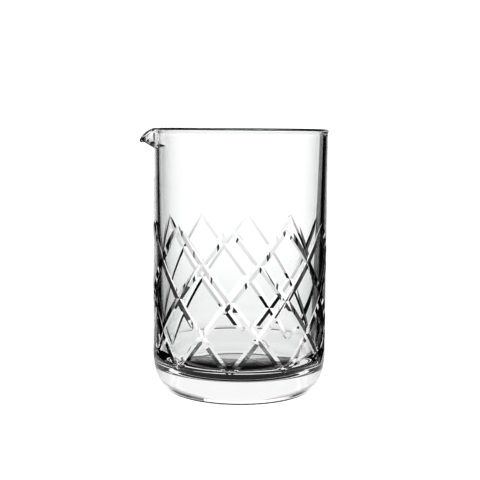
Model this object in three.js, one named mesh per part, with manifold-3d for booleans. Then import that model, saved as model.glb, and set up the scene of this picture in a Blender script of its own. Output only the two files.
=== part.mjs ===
// Mixing glass for stirred drinks: one piece of clear glass with a thick foot, a rounded
// heel, a fire-polished rim, a pulled pouring lip and two crossed families of V grooves.
// Millimetres, +Z up, foot on z = 0, axis of the glass on the Z axis, pouring lip towards -X.
import * as THREE from "three";
import { mergeVertices } from "three/addons/utils/BufferGeometryUtils.js";
import Module from "manifold-3d";

// Driving dimensions
const BODY_RADIUS = 46;
const HEIGHT = 139.8;
const FOOT_RADIUS = 35;
const HEEL_HEIGHT = 20;
const FLOOR_THICKNESS = 12.5;
const WALL_AT_RIM = 2.4;
const WALL_AT_FLOOR = 4.2;
const INNER_FILLET = 13.5;

const BEAD_HEIGHT = 2.6;
const BEAD_BULGE = 0.4;
const BEAD_NECK = 0.1;

const LIP_REACH = 7.1;
const LIP_DROP = 5.4;
const LIP_DEPTH = 10.5;
const LIP_HALF_ANGLE = THREE.MathUtils.degToRad(20);
const LIP_SWELL = 0.6;

const GROOVES_PER_HAND = 10;
const GROOVE_WIDTH = 3.4;
const GROOVE_DEPTH = 0.5;
const CROSSING_SPACING = 18.4;
const TOP_CROSSING = 91;
const GROOVE_TOP = 93;
const GROOVE_BOTTOM = 15.5;
const GROOVE_FADE = 8;
const PATTERN_PHASE = THREE.MathUtils.degToRad(30.2);

// Fineness of the faceted solid
const AROUND = 84;
const HEEL_STEPS = 6;
const BEAD_STEPS = 7;
const LIP_STEPS = 6;
const FILLET_STEPS = 5;
const GROOVE_STEPS = 12;

// Room the cutters keep outside the wall
const CUTTER_CLEARANCE = 1.2;
const FADE_CLEARANCE = 0.2;

// Section of a three-sided prism of radius 1: its flat face and half its width
const PRISM_FACE = -Math.cos(Math.PI / 3);
const PRISM_HALF_WIDTH = Math.sin(Math.PI / 3);

const INNER_RADIUS_TOP = BODY_RADIUS - WALL_AT_RIM;
const INNER_RADIUS_LOW = BODY_RADIUS - WALL_AT_FLOOR;
const LIP_START = HEIGHT - LIP_DEPTH;
const BEAD_START = HEIGHT - BEAD_HEIGHT;
const TURN_PER_MM = Math.PI / GROOVES_PER_HAND / CROSSING_SPACING;
const GROOVE_LEAN = Math.atan(TURN_PER_MM * BODY_RADIUS);

// Heights of the rings that let the wall bend out into the lip, from low to high and closest
// where the lip leaves the wall.
function lipRingHeights() {
  const heights = [];
  for (let i = 0; i < LIP_STEPS; i += 1) {
    heights.push(LIP_START + (BEAD_START - LIP_START) * (i / LIP_STEPS) ** 2);
  }
  return heights;
}

// Quarter ellipse from the edge of the foot up to the straight wall.
function heelPoints() {
  const reach = BODY_RADIUS - FOOT_RADIUS;
  const points = [];
  for (let i = 0; i <= HEEL_STEPS; i += 1) {
    const angle = (Math.PI / 2) * (i / HEEL_STEPS);
    const radius = FOOT_RADIUS + reach * Math.sin(angle);
    points.push(new THREE.Vector2(radius, HEEL_HEIGHT * (1 - Math.cos(angle))));
  }
  return points;
}

// Rounded rim, a little fuller than the wall, from the outside over the top to the inside.
function beadPoints() {
  const outer = BODY_RADIUS + BEAD_BULGE;
  const middle = (outer + INNER_RADIUS_TOP) / 2;
  const halfWidth = (outer - INNER_RADIUS_TOP) / 2;
  const halfHeight = BEAD_HEIGHT / 2;
  const points = [new THREE.Vector2(BODY_RADIUS - BEAD_NECK, BEAD_START)];
  for (let i = 0; i <= BEAD_STEPS; i += 1) {
    const angle = Math.PI * (i / BEAD_STEPS);
    const height = BEAD_START + halfHeight * (1 + Math.sin(angle));
    points.push(new THREE.Vector2(middle + halfWidth * Math.cos(angle), height));
  }
  return points;
}

// Inner radius of the straight, slightly tapered cavity wall at a given height.
function innerRadius(z) {
  const low = FLOOR_THICKNESS + INNER_FILLET;
  const share = (z - low) / (HEIGHT - low);
  return INNER_RADIUS_LOW + (INNER_RADIUS_TOP - INNER_RADIUS_LOW) * share;
}

// Rounded corner between the cavity wall and the floor, from the wall down to the floor.
function filletPoints() {
  const centre = INNER_RADIUS_LOW - INNER_FILLET;
  const points = [];
  for (let i = 0; i <= FILLET_STEPS; i += 1) {
    const angle = (Math.PI / 2) * (i / FILLET_STEPS);
    const height = FLOOR_THICKNESS + INNER_FILLET * (1 - Math.sin(angle));
    points.push(new THREE.Vector2(centre + INNER_FILLET * Math.cos(angle), height));
  }
  return points;
}

// Half section of the glass, starting and ending on the axis.
function bodyProfile() {
  const rings = lipRingHeights();
  return [
    new THREE.Vector2(0, 0),
    ...heelPoints(),
    ...rings.map((z) => new THREE.Vector2(BODY_RADIUS, z)),
    ...beadPoints(),
    ...rings.reverse().map((z) => new THREE.Vector2(innerRadius(z), z)),
    ...filletPoints(),
    new THREE.Vector2(0, FLOOR_THICKNESS),
  ];
}

// Pulls both faces of the wall out and down together to form the pouring lip.
function pullLip(geometry) {
  const position = geometry.getAttribute("position");
  for (let i = 0; i < position.count; i += 1) {
    const x = position.getX(i);
    const y = position.getY(i);
    const z = position.getZ(i);
    const away = Math.abs(Math.atan2(y, -x)) / LIP_HALF_ANGLE;
    const rise = Math.min(1, (z - LIP_START) / (BEAD_START - LIP_START));
    if (away < 1 && rise > 0) {
      const across = Math.cos((Math.PI / 2) * away) ** 2;
      const radius = Math.hypot(x, y);
      const scale = (radius + LIP_REACH * across * rise ** LIP_SWELL) / radius;
      position.setXYZ(i, x * scale, y * scale, z - LIP_DROP * (across * rise) ** 2);
    }
  }
}

// Triangular cutter laid along a helix on the outside of the wall, fading out at both ends.
// hand is +1 for grooves that climb to the right seen from outside, -1 for the others.
// It starts as a three-sided prism: its edge at z = 1 becomes the bottom of the V, and the
// face opposite stays clear of the wall.
function grooveCutter(startAngle, hand) {
  const length = GROOVE_TOP - GROOVE_BOTTOM;
  const halfWidth = (GROOVE_WIDTH / 2) * (1 + CUTTER_CLEARANCE / GROOVE_DEPTH);
  const geometry = new THREE.CylinderGeometry(1, 1, length, 3, GROOVE_STEPS);
  const position = geometry.getAttribute("position");
  for (let i = 0; i < position.count; i += 1) {
    const along = position.getY(i) + length / 2;
    const fade = 1 - Math.min(1, Math.min(along, length - along) / GROOVE_FADE);
    const lift = (GROOVE_DEPTH + FADE_CLEARANCE) * fade * fade;
    const depthShare = (position.getZ(i) - PRISM_FACE) / (1 - PRISM_FACE);
    const height = THREE.MathUtils.lerp(CUTTER_CLEARANCE, -GROOVE_DEPTH, depthShare) + lift;
    const radius = BODY_RADIUS + height;
    const across = (position.getX(i) / PRISM_HALF_WIDTH) * halfWidth;
    const middleZ = GROOVE_BOTTOM + along;
    const z = middleZ + hand * across * Math.sin(GROOVE_LEAN);
    const turn = hand * TURN_PER_MM * (middleZ - TOP_CROSSING);
    const angle = startAngle + turn - (across * Math.cos(GROOVE_LEAN)) / BODY_RADIUS;
    position.setXYZ(i, radius * Math.sin(angle), -radius * Math.cos(angle), z);
  }
  return geometry;
}

// Welds a three.js geometry into a closed triangle mesh and hands it to manifold.
function toManifold(wasm, geometry) {
  geometry.deleteAttribute("normal");
  geometry.deleteAttribute("uv");
  const welded = mergeVertices(geometry);
  const index = welded.getIndex().array;
  const triangles = [];
  for (let i = 0; i < index.length; i += 3) {
    const [a, b, c] = [index[i], index[i + 1], index[i + 2]];
    if (a !== b && b !== c && c !== a) {
      triangles.push(a, b, c);
    }
  }
  const mesh = new wasm.Mesh({
    numProp: 3,
    vertProperties: new Float32Array(welded.getAttribute("position").array),
    triVerts: new Uint32Array(triangles),
  });
  return new wasm.Manifold(mesh);
}

function toGeometry(solid) {
  const mesh = solid.getMesh();
  const geometry = new THREE.BufferGeometry();
  geometry.setAttribute("position", new THREE.BufferAttribute(mesh.vertProperties, 3));
  geometry.setIndex(new THREE.BufferAttribute(mesh.triVerts, 1));
  geometry.computeVertexNormals();
  return geometry;
}

function plainBody() {
  const geometry = new THREE.LatheGeometry(bodyProfile(), AROUND);
  geometry.rotateX(Math.PI / 2);
  pullLip(geometry);
  return geometry;
}

function cutGrooves(wasm, body) {
  let solid = body;
  for (let i = 0; i < GROOVES_PER_HAND; i += 1) {
    const startAngle = PATTERN_PHASE + (2 * Math.PI * i) / GROOVES_PER_HAND;
    for (const hand of [1, -1]) {
      solid = solid.subtract(toManifold(wasm, grooveCutter(startAngle, hand)));
    }
  }
  return solid;
}

const wasm = await Module();
wasm.setup();

const clearGlass = new THREE.MeshStandardMaterial({
  color: 0xe4ecec,
  roughness: 0.04,
  metalness: 0,
});
const glassBody = cutGrooves(wasm, toManifold(wasm, plainBody()));
const vessel = new THREE.Mesh(toGeometry(glassBody), clearGlass);
vessel.name = "glass_vessel";

const mixingGlass = new THREE.Group();
mixingGlass.name = "mixing_glass";
mixingGlass.add(vessel);

export default mixingGlass;
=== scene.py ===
# Cut-glass mixing glass on a plain pale floor. Metres, +Z up, foot on z = 0, lip towards -X.
import math

import bmesh
import bpy
from mathutils import Matrix, Vector


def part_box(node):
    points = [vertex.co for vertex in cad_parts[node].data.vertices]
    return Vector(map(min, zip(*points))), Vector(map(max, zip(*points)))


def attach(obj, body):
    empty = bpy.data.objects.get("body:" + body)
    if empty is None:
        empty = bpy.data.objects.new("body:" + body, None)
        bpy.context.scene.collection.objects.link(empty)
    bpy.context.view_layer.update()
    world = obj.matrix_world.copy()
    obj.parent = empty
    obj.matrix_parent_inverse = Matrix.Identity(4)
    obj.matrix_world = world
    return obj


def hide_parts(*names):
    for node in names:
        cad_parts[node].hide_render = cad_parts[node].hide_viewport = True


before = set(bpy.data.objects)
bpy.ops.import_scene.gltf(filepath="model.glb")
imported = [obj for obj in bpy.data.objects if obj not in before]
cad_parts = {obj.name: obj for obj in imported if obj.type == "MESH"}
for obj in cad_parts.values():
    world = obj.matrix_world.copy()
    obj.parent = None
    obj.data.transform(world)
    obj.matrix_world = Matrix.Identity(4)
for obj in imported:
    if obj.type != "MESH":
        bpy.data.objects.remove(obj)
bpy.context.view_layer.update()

MM = 0.001
NODE = "glass_vessel"
low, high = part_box(NODE)

# Radius, height and lip reach come from the frame; the others repeat the part's own dimensions
BEAD_BULGE = 0.4 * MM
BEAD_NECK = 0.1 * MM
RADIUS = high.y - BEAD_BULGE
HEIGHT = high.z
FOOT_RADIUS = 35 * MM
HEEL_HEIGHT = 20 * MM
FLOOR = 12.5 * MM
INNER_TOP = RADIUS - 2.4 * MM
INNER_LOW = RADIUS - 4.2 * MM
FILLET = 13.5 * MM
BEAD_HEIGHT = 2.6 * MM
LIP_DEPTH = 10.5 * MM
LIP_DROP = 5.4 * MM
LIP_REACH = -low.x - high.y
LIP_HALF_ANGLE = math.radians(20)
LIP_SWELL = 0.6
LIP_START = HEIGHT - LIP_DEPTH
BEAD_START = HEIGHT - BEAD_HEIGHT

GROOVES_PER_HAND = 10
GROOVE_WIDTH = 3.4 * MM
GROOVE_DEPTH = 0.5 * MM
CROSSING_SPACING = 18.4 * MM
TOP_CROSSING = 91 * MM
GROOVE_TOP = 93 * MM
GROOVE_BOTTOM = 15.5 * MM
GROOVE_FADE = 8 * MM
PATTERN_PHASE = math.radians(30.2)
TURN_PER_METRE = math.pi / GROOVES_PER_HAND / CROSSING_SPACING
GROOVE_LEAN = math.atan(TURN_PER_METRE * RADIUS)
CUTTER_CLEARANCE = 1.2 * MM
FADE_CLEARANCE = 0.2 * MM

# Fineness of the surface
AROUND = 288
HEEL_STEPS = 24
ARC_STEPS = 20
LIP_STEPS = 20
GROOVE_STEPS = 72

# Shading: which edges stay crisp, and which faces take the normals of the true round wall
CRISP_ANGLE = math.radians(14)
SAME_WAY_ANGLE = math.radians(6)
FOOT_MARGIN = 0.2 * MM
WALL_MARGIN = 0.5 * MM
FLOOR_MARGIN = 1 * MM
LIP_MARGIN = 1 * MM
FOOT_EDGE_MARGIN = 2 * MM

# Glass: a faint ripple, an uneven polish and a very slight tint
REFRACTIVE_INDEX = 1.52
RIPPLE_SCALE = 90
RIPPLE_HEIGHT = 0.012 * MM
SMEAR_SCALE = 45
SMEAR_LOW = 0.45
SMEAR_HIGH = 0.8
ROUGHEST_POLISH = 0.03
TINT = (0.985, 0.99, 0.99, 1)

# Camera
LENS = 79.5
SENSOR_WIDTH = 36
CAMERA_DISTANCE = 0.5626
CAMERA_HEIGHT = 0.1419
CAMERA_TILT = math.radians(6.23)
CAMERA_ROLL = 0.0081
PRINT_GAMMA = 0.75

# Studio: elevation in degrees and brightness round the horizon
SURROUND_LOW = 0.01
SKY_STOPS = [(1, 0.01), (3, 1.0), (15.5, 1.0), (18, 0.02), (80, 0.02)]

# White card that only the camera sees
CARD_GLOW = 1.3
CARD_SIDE = 1.8
CARD_DISTANCE = 3.56

# Light sheet that only the glass sees: its brightness by angle across, and by share of its height
FIELD_GLOW = 1.3
FIELD_AWAY = 5.0
FIELD_WIDTH = 8.0
FIELD_HEIGHT = 1.66
FIELD_DROP = 0.1
FIELD_STOPS = [
    (-30, 0), (-25, 0.7), (-20, 0.85), (-12, 0.93), (-6, 0.98), (-1, 1),
    (16.4, 1), (16.7, 0.16), (24, 0.13), (25, 0),
]
FIELD_FALL = [(0.01, 0.62), (0.2, 0.77), (0.35, 0.88), (0.5, 0.98), (0.99, 1)]
UPPER_HEIGHT = 1.3
UPPER_GLOW = 1.0

# Pale floor that the camera sees, and the glowing ring of table that the glass sees; the unlit hole
# in the ring under the foot is painted shade
FLOOR_SIDE = 8.0
FLOOR_GAP = 0.2 * MM
# Inner radius of the table ring: inside it the table gives no light, which paints shade under the
# foot
TABLE_SHADE_RADIUS = 38 * MM
TABLE_OUTER = 120 * MM
TABLE_GAP = 0.4 * MM
TABLE_GLOW = 1.0
TABLE_AROUND = 96


def steps(count):
    """Shares from 0 to 1 in equal steps, both ends included."""
    return [i / count for i in range(count + 1)]


def heel_points():
    """Quarter ellipse from the edge of the foot up to the straight wall."""
    points = []
    for share in steps(HEEL_STEPS):
        angle = share * math.pi / 2
        radius = FOOT_RADIUS + (RADIUS - FOOT_RADIUS) * math.sin(angle)
        points.append((radius, HEEL_HEIGHT * (1 - math.cos(angle))))
    return points


def bead_points():
    """Fire-polished rim from the outside over the top to the inside."""
    outer = RADIUS + BEAD_BULGE
    middle = (outer + INNER_TOP) / 2
    half_width = (outer - INNER_TOP) / 2
    points = [(RADIUS - BEAD_NECK, BEAD_START)]
    for share in steps(ARC_STEPS):
        angle = share * math.pi
        height = BEAD_START + BEAD_HEIGHT / 2 * (1 + math.sin(angle))
        points.append((middle + half_width * math.cos(angle), height))
    return points


def inner_radius(z):
    """Radius of the slightly tapered cavity wall at height z."""
    base = FLOOR + FILLET
    return INNER_LOW + (INNER_TOP - INNER_LOW) * (z - base) / (HEIGHT - base)


def fillet_points():
    """Rounded corner between the cavity wall and the floor."""
    centre = INNER_LOW - FILLET
    points = []
    for share in steps(ARC_STEPS):
        angle = share * math.pi / 2
        height = FLOOR + FILLET * (1 - math.sin(angle))
        points.append((centre + FILLET * math.cos(angle), height))
    return points


def half_section():
    """Outline of the glass from the edge of the foot, over the rim, to the edge of the flat floor."""
    rings = [LIP_START + (BEAD_START - LIP_START) * share * share for share in steps(LIP_STEPS)[:-1]]
    outside = [(RADIUS, z) for z in rings]
    inside = [(inner_radius(z), z) for z in reversed(rings)]
    return heel_points() + outside + bead_points() + inside + fillet_points()


def pull_lip(x, y, z):
    """Moves a point of the plain rim out and down where the wall is pulled into the lip."""
    away = abs(math.atan2(y, -x)) / LIP_HALF_ANGLE
    rise = min(1, (z - LIP_START) / (BEAD_START - LIP_START))
    if away >= 1 or rise <= 0:
        return x, y, z
    across = math.cos(math.pi / 2 * away) ** 2
    radius = math.hypot(x, y)
    scale = (radius + LIP_REACH * across * rise ** LIP_SWELL) / radius
    return x * scale, y * scale, z - LIP_DROP * (across * rise) ** 2


def build_body():
    """Plain body of revolution with the pouring lip pulled into its rim."""
    section = half_section()
    shape = bmesh.new()
    rings = []
    for radius, z in section:
        ring = []
        for i in range(AROUND):
            angle = 2 * math.pi * i / AROUND
            point = pull_lip(-radius * math.cos(angle), radius * math.sin(angle), z)
            ring.append(shape.verts.new(point))
        rings.append(ring)
    for lower, upper in zip(rings, rings[1:]):
        for i in range(AROUND):
            j = (i + 1) % AROUND
            shape.faces.new((lower[i], lower[j], upper[j], upper[i]))
    shape.faces.new(list(reversed(rings[0])))
    shape.faces.new(rings[-1])
    bmesh.ops.recalc_face_normals(shape, faces=shape.faces)
    return shape


def cutter_point(start_angle, hand, along, across, height):
    """A point of a groove cutter: along the helix, across it, and height above the wall."""
    middle_z = GROOVE_BOTTOM + along
    z = middle_z + hand * across * math.sin(GROOVE_LEAN)
    turn = hand * TURN_PER_METRE * (middle_z - TOP_CROSSING)
    angle = start_angle + turn - across * math.cos(GROOVE_LEAN) / RADIUS
    radius = RADIUS + height
    return radius * math.sin(angle), -radius * math.cos(angle), z


def build_cutters(hand):
    """All the V cutters of one hand, as separate closed prisms in one mesh."""
    length = GROOVE_TOP - GROOVE_BOTTOM
    half_width = GROOVE_WIDTH / 2 * (1 + CUTTER_CLEARANCE / GROOVE_DEPTH)
    corners = [
        (-half_width, CUTTER_CLEARANCE),
        (half_width, CUTTER_CLEARANCE),
        (0, -GROOVE_DEPTH),
    ]
    shape = bmesh.new()
    for k in range(GROOVES_PER_HAND):
        start_angle = PATTERN_PHASE + 2 * math.pi * k / GROOVES_PER_HAND
        rows = []
        for share in steps(GROOVE_STEPS):
            along = share * length
            fade = 1 - min(1, min(along, length - along) / GROOVE_FADE)
            lift = (GROOVE_DEPTH + FADE_CLEARANCE) * fade * fade
            row = []
            for across, height in corners:
                point = cutter_point(start_angle, hand, along, across, height + lift)
                row.append(shape.verts.new(point))
            rows.append(row)
        for lower, upper in zip(rows, rows[1:]):
            for i in range(3):
                j = (i + 1) % 3
                shape.faces.new((lower[i], lower[j], upper[j], upper[i]))
        shape.faces.new(rows[0])
        shape.faces.new(rows[-1])
    bmesh.ops.recalc_face_normals(shape, faces=shape.faces)
    return shape


def add_object(name, shape):
    """Turns a bmesh into a linked object."""
    mesh = bpy.data.meshes.new(name)
    shape.to_mesh(mesh)
    shape.free()
    piece = bpy.data.objects.new(name, mesh)
    bpy.context.scene.collection.objects.link(piece)
    return piece


def cut(piece, cutter):
    """Applies one boolean difference and removes the cutter."""
    modifier = piece.modifiers.new("cut", "BOOLEAN")
    modifier.operation = "DIFFERENCE"
    modifier.solver = "MANIFOLD"
    modifier.object = cutter
    graph = bpy.context.evaluated_depsgraph_get()
    mesh = bpy.data.meshes.new_from_object(piece.evaluated_get(graph))
    piece.modifiers.remove(modifier)
    piece.data = mesh
    bpy.data.objects.remove(cutter)


def smooth_normal(point):
    """Normal of the round outside wall or heel at a point on it."""
    across = math.hypot(point.x, point.y)
    outward = Vector((point.x / across, point.y / across, 0))
    if point.z >= HEEL_HEIGHT:
        return outward
    reach = RADIUS - FOOT_RADIUS
    side = outward * ((across - FOOT_RADIUS) / reach ** 2)
    return (side + Vector((0, 0, (point.z - HEEL_HEIGHT) / HEEL_HEIGHT ** 2))).normalized()


def keeps_round_normal(face):
    """Whether a face belongs to the round outside, between the foot and the lip, and not to a cut."""
    centre = face.center
    across = math.hypot(centre.x, centre.y)
    in_height = FOOT_MARGIN <= centre.z <= LIP_START - LIP_MARGIN
    outside = across > INNER_TOP + WALL_MARGIN or centre.z < HEEL_HEIGHT
    in_cavity = centre.z > FLOOR - FLOOR_MARGIN and across < FOOT_RADIUS + FOOT_EDGE_MARGIN
    if not in_height or not outside or in_cavity:
        return False
    return face.normal.angle(smooth_normal(centre)) <= SAME_WAY_ANGLE


def shade(piece):
    """Smooth shading with crisp groove edges; the wall between the cuts keeps its round normals."""
    mesh = piece.data
    mesh.shade_smooth()
    mesh.set_sharp_from_angle(angle=CRISP_ANGLE)
    normals = [Vector((0, 0, 0))] * len(mesh.loops)
    for face in mesh.polygons:
        if not keeps_round_normal(face):
            continue
        for loop in face.loop_indices:
            point = mesh.vertices[mesh.loops[loop].vertex_index].co
            if point.z < LIP_START + WALL_MARGIN:
                normals[loop] = smooth_normal(point)
    mesh.normals_split_custom_set(normals)


def glass_material():
    """Clear polished glass, with the faint ripple and uneven polish of a hand-finished vessel."""
    material = bpy.data.materials.new("clear_glass")
    material.use_nodes = True
    nodes = material.node_tree.nodes
    links = material.node_tree.links
    shader = nodes["Principled BSDF"]
    shader.inputs["Transmission Weight"].default_value = 1
    shader.inputs["IOR"].default_value = REFRACTIVE_INDEX
    coords = nodes.new("ShaderNodeTexCoord")

    ripple = nodes.new("ShaderNodeTexNoise")
    ripple.inputs["Scale"].default_value = RIPPLE_SCALE
    ripple.inputs["Detail"].default_value = 1
    bump = nodes.new("ShaderNodeBump")
    bump.inputs["Strength"].default_value = 1
    bump.inputs["Distance"].default_value = RIPPLE_HEIGHT
    links.new(coords.outputs["Object"], ripple.inputs["Vector"])
    links.new(ripple.outputs["Fac"], bump.inputs["Height"])
    links.new(bump.outputs["Normal"], shader.inputs["Normal"])

    smears = nodes.new("ShaderNodeTexNoise")
    smears.inputs["Scale"].default_value = SMEAR_SCALE
    smears.inputs["Detail"].default_value = 3
    polish = nodes.new("ShaderNodeMapRange")
    polish.inputs["From Min"].default_value = SMEAR_LOW
    polish.inputs["From Max"].default_value = SMEAR_HIGH
    polish.inputs["To Min"].default_value = 0
    polish.inputs["To Max"].default_value = ROUGHEST_POLISH
    links.new(coords.outputs["Object"], smears.inputs["Vector"])
    links.new(smears.outputs["Fac"], polish.inputs["Value"])
    links.new(polish.outputs["Result"], shader.inputs["Roughness"])

    tint = nodes.new("ShaderNodeValToRGB")
    tint.color_ramp.elements[0].color = TINT
    tint.color_ramp.elements[1].color = (1, 1, 1, 1)
    links.new(ripple.outputs["Fac"], tint.inputs["Fac"])
    links.new(tint.outputs["Color"], shader.inputs["Base Color"])
    return material


def glow_sheet(name, mesh, strength):
    """A stage sheet that gives off light."""
    sheet = bpy.data.objects.new(name, mesh)
    bpy.context.scene.collection.objects.link(sheet)
    material = bpy.data.materials.new(name)
    material.use_nodes = True
    nodes = material.node_tree.nodes
    nodes.clear()
    glow = nodes.new("ShaderNodeEmission")
    glow.inputs["Strength"].default_value = strength
    out = nodes.new("ShaderNodeOutputMaterial")
    material.node_tree.links.new(glow.outputs[0], out.inputs[0])
    mesh.materials.append(material)
    return sheet


def rectangle(name, width, height):
    """Flat rectangle in its own XY plane."""
    mesh = bpy.data.meshes.new(name)
    w, h = width / 2, height / 2
    mesh.from_pydata([(-w, -h, 0), (w, -h, 0), (w, h, 0), (-w, h, 0)], [], [(0, 1, 2, 3)])
    return mesh


def set_stops(ramp, stops, first):
    """Grey stops of a colour ramp; first is the value at its start."""
    elements = ramp.color_ramp.elements
    while len(elements) > 1:
        elements.remove(elements[-1])
    elements[0].position = 0
    elements[0].color = (first, first, first, 1)
    for position, value in stops:
        stop = elements.new(position)
        stop.color = (value, value, value, 1)


def make_card(camera):
    """White card behind the glass, seen by the camera only."""
    card = glow_sheet("backdrop", rectangle("backdrop", CARD_SIDE, CARD_SIDE), CARD_GLOW)
    card.parent = camera
    card.location = (0, 0, -CARD_DISTANCE)
    card.visible_transmission = False
    card.visible_glossy = False
    card.visible_diffuse = False


def make_light_field(camera):
    """Softly flagged light behind the glass, seen through the glass only."""
    field = glow_sheet("light_field", rectangle("light_field", FIELD_WIDTH, FIELD_HEIGHT), FIELD_GLOW)
    field.parent = camera
    field.location = (0, -FIELD_DROP, -CAMERA_DISTANCE - FIELD_AWAY)
    field.visible_camera = False
    grade_light_field(field)
    return field


def grade_light_field(field):
    """Grades the sheet's glow across its width and up its height."""
    nodes = field.data.materials[0].node_tree.nodes
    links = field.data.materials[0].node_tree.links
    coords = nodes.new("ShaderNodeTexCoord")
    split = nodes.new("ShaderNodeSeparateXYZ")
    across = nodes.new("ShaderNodeValToRGB")
    fall = nodes.new("ShaderNodeValToRGB")
    level = nodes.new("ShaderNodeMath")
    level.operation = "MULTIPLY"
    level.inputs[1].default_value = FIELD_GLOW
    links.new(coords.outputs["Generated"], split.inputs[0])
    links.new(split.outputs["X"], across.inputs["Fac"])
    links.new(split.outputs["Y"], fall.inputs["Fac"])
    links.new(fall.outputs["Color"], level.inputs[0])
    links.new(across.outputs["Color"], nodes["Emission"].inputs["Color"])
    links.new(level.outputs[0], nodes["Emission"].inputs["Strength"])
    across_stops = [
        (0.5 + FIELD_AWAY * math.tan(math.radians(angle)) / FIELD_WIDTH, value)
        for angle, value in FIELD_STOPS
    ]
    set_stops(across, across_stops, 0)
    set_stops(fall, FIELD_FALL, FIELD_FALL[0][1])


def make_upper_light(camera, field):
    """Plain light sheet that stands on the upper edge of the graded one."""
    upper = glow_sheet("upper_light", rectangle("upper_light", FIELD_WIDTH, UPPER_HEIGHT), UPPER_GLOW)
    upper.parent = camera
    upper.location = field.location + Vector((0, (FIELD_HEIGHT + UPPER_HEIGHT) / 2, 0))
    upper.visible_camera = False


def make_table():
    """Glowing ring of table round the foot, seen through the glass only; the dark hole inside it,
    under the foot, is painted shade.
    """
    verts = []
    # The glow starts at the inner radius, so the ground beneath the foot stays dark as painted shade
    for radius in (TABLE_SHADE_RADIUS, TABLE_OUTER):
        for i in range(TABLE_AROUND):
            angle = 2 * math.pi * i / TABLE_AROUND
            verts.append((radius * math.cos(angle), radius * math.sin(angle), 0))
    faces = []
    for i in range(TABLE_AROUND):
        j = (i + 1) % TABLE_AROUND
        faces.append((i, j, TABLE_AROUND + j, TABLE_AROUND + i))
    mesh = bpy.data.meshes.new("table_top")
    mesh.from_pydata(verts, [], faces)
    table = glow_sheet("table_top", mesh, TABLE_GLOW)
    table.location.z = -TABLE_GAP
    table.visible_camera = False


def make_world():
    """Dark studio with a bright band a little above the horizon."""
    world = bpy.data.worlds.new("studio")
    bpy.context.scene.world = world
    world.use_nodes = True
    nodes = world.node_tree.nodes
    links = world.node_tree.links
    coords = nodes.new("ShaderNodeTexCoord")
    split = nodes.new("ShaderNodeSeparateXYZ")
    ramp = nodes.new("ShaderNodeValToRGB")
    background = nodes["Background"]
    links.new(coords.outputs["Generated"], split.inputs[0])
    links.new(split.outputs["Z"], ramp.inputs["Fac"])
    links.new(ramp.outputs["Color"], background.inputs["Color"])
    stops = [(math.sin(math.radians(elevation)), value) for elevation, value in SKY_STOPS]
    set_stops(ramp, stops, SURROUND_LOW)


def make_floor():
    """Plain pale floor, seen by the camera and not through the glass."""
    mesh = rectangle("floor", FLOOR_SIDE, FLOOR_SIDE)
    floor = bpy.data.objects.new("floor", mesh)
    bpy.context.scene.collection.objects.link(floor)
    material = bpy.data.materials.new("floor")
    material.use_nodes = True
    shader = material.node_tree.nodes["Principled BSDF"]
    shader.inputs["Base Color"].default_value = (0.9, 0.9, 0.9, 1)
    shader.inputs["Roughness"].default_value = 0.6
    shader.inputs["Emission Color"].default_value = (1, 1, 1, 1)
    shader.inputs["Emission Strength"].default_value = 1.0
    mesh.materials.append(material)
    floor.location.z = -FLOOR_GAP
    floor.visible_transmission = False
    floor.visible_glossy = False


def make_camera():
    """Camera a little above the rim, tilted slightly down."""
    data = bpy.data.cameras.new("camera")
    data.lens = LENS
    data.sensor_width = SENSOR_WIDTH
    camera = bpy.data.objects.new("camera", data)
    bpy.context.scene.collection.objects.link(camera)
    camera.location = (0, -CAMERA_DISTANCE, CAMERA_HEIGHT)
    turn = Matrix.Rotation(math.radians(90) - CAMERA_TILT, 4, "X")
    roll = Matrix.Rotation(CAMERA_ROLL, 4, "Z")
    camera.rotation_euler = (turn @ roll).to_euler()
    bpy.context.scene.camera = camera
    return camera


body = add_object("glass_body", build_body())
for hand in (1, -1):
    cut(body, add_object("cutters", build_cutters(hand)))
shade(body)
body.data.materials.clear()
body.data.materials.append(glass_material())
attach(body, "root")
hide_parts(NODE)

make_world()
make_floor()
camera = make_camera()
make_card(camera)
light_field = make_light_field(camera)
make_upper_light(camera, light_field)
make_table()
bpy.context.scene.view_settings.view_transform = "Standard"
bpy.context.scene.view_settings.gamma = PRINT_GAMMA
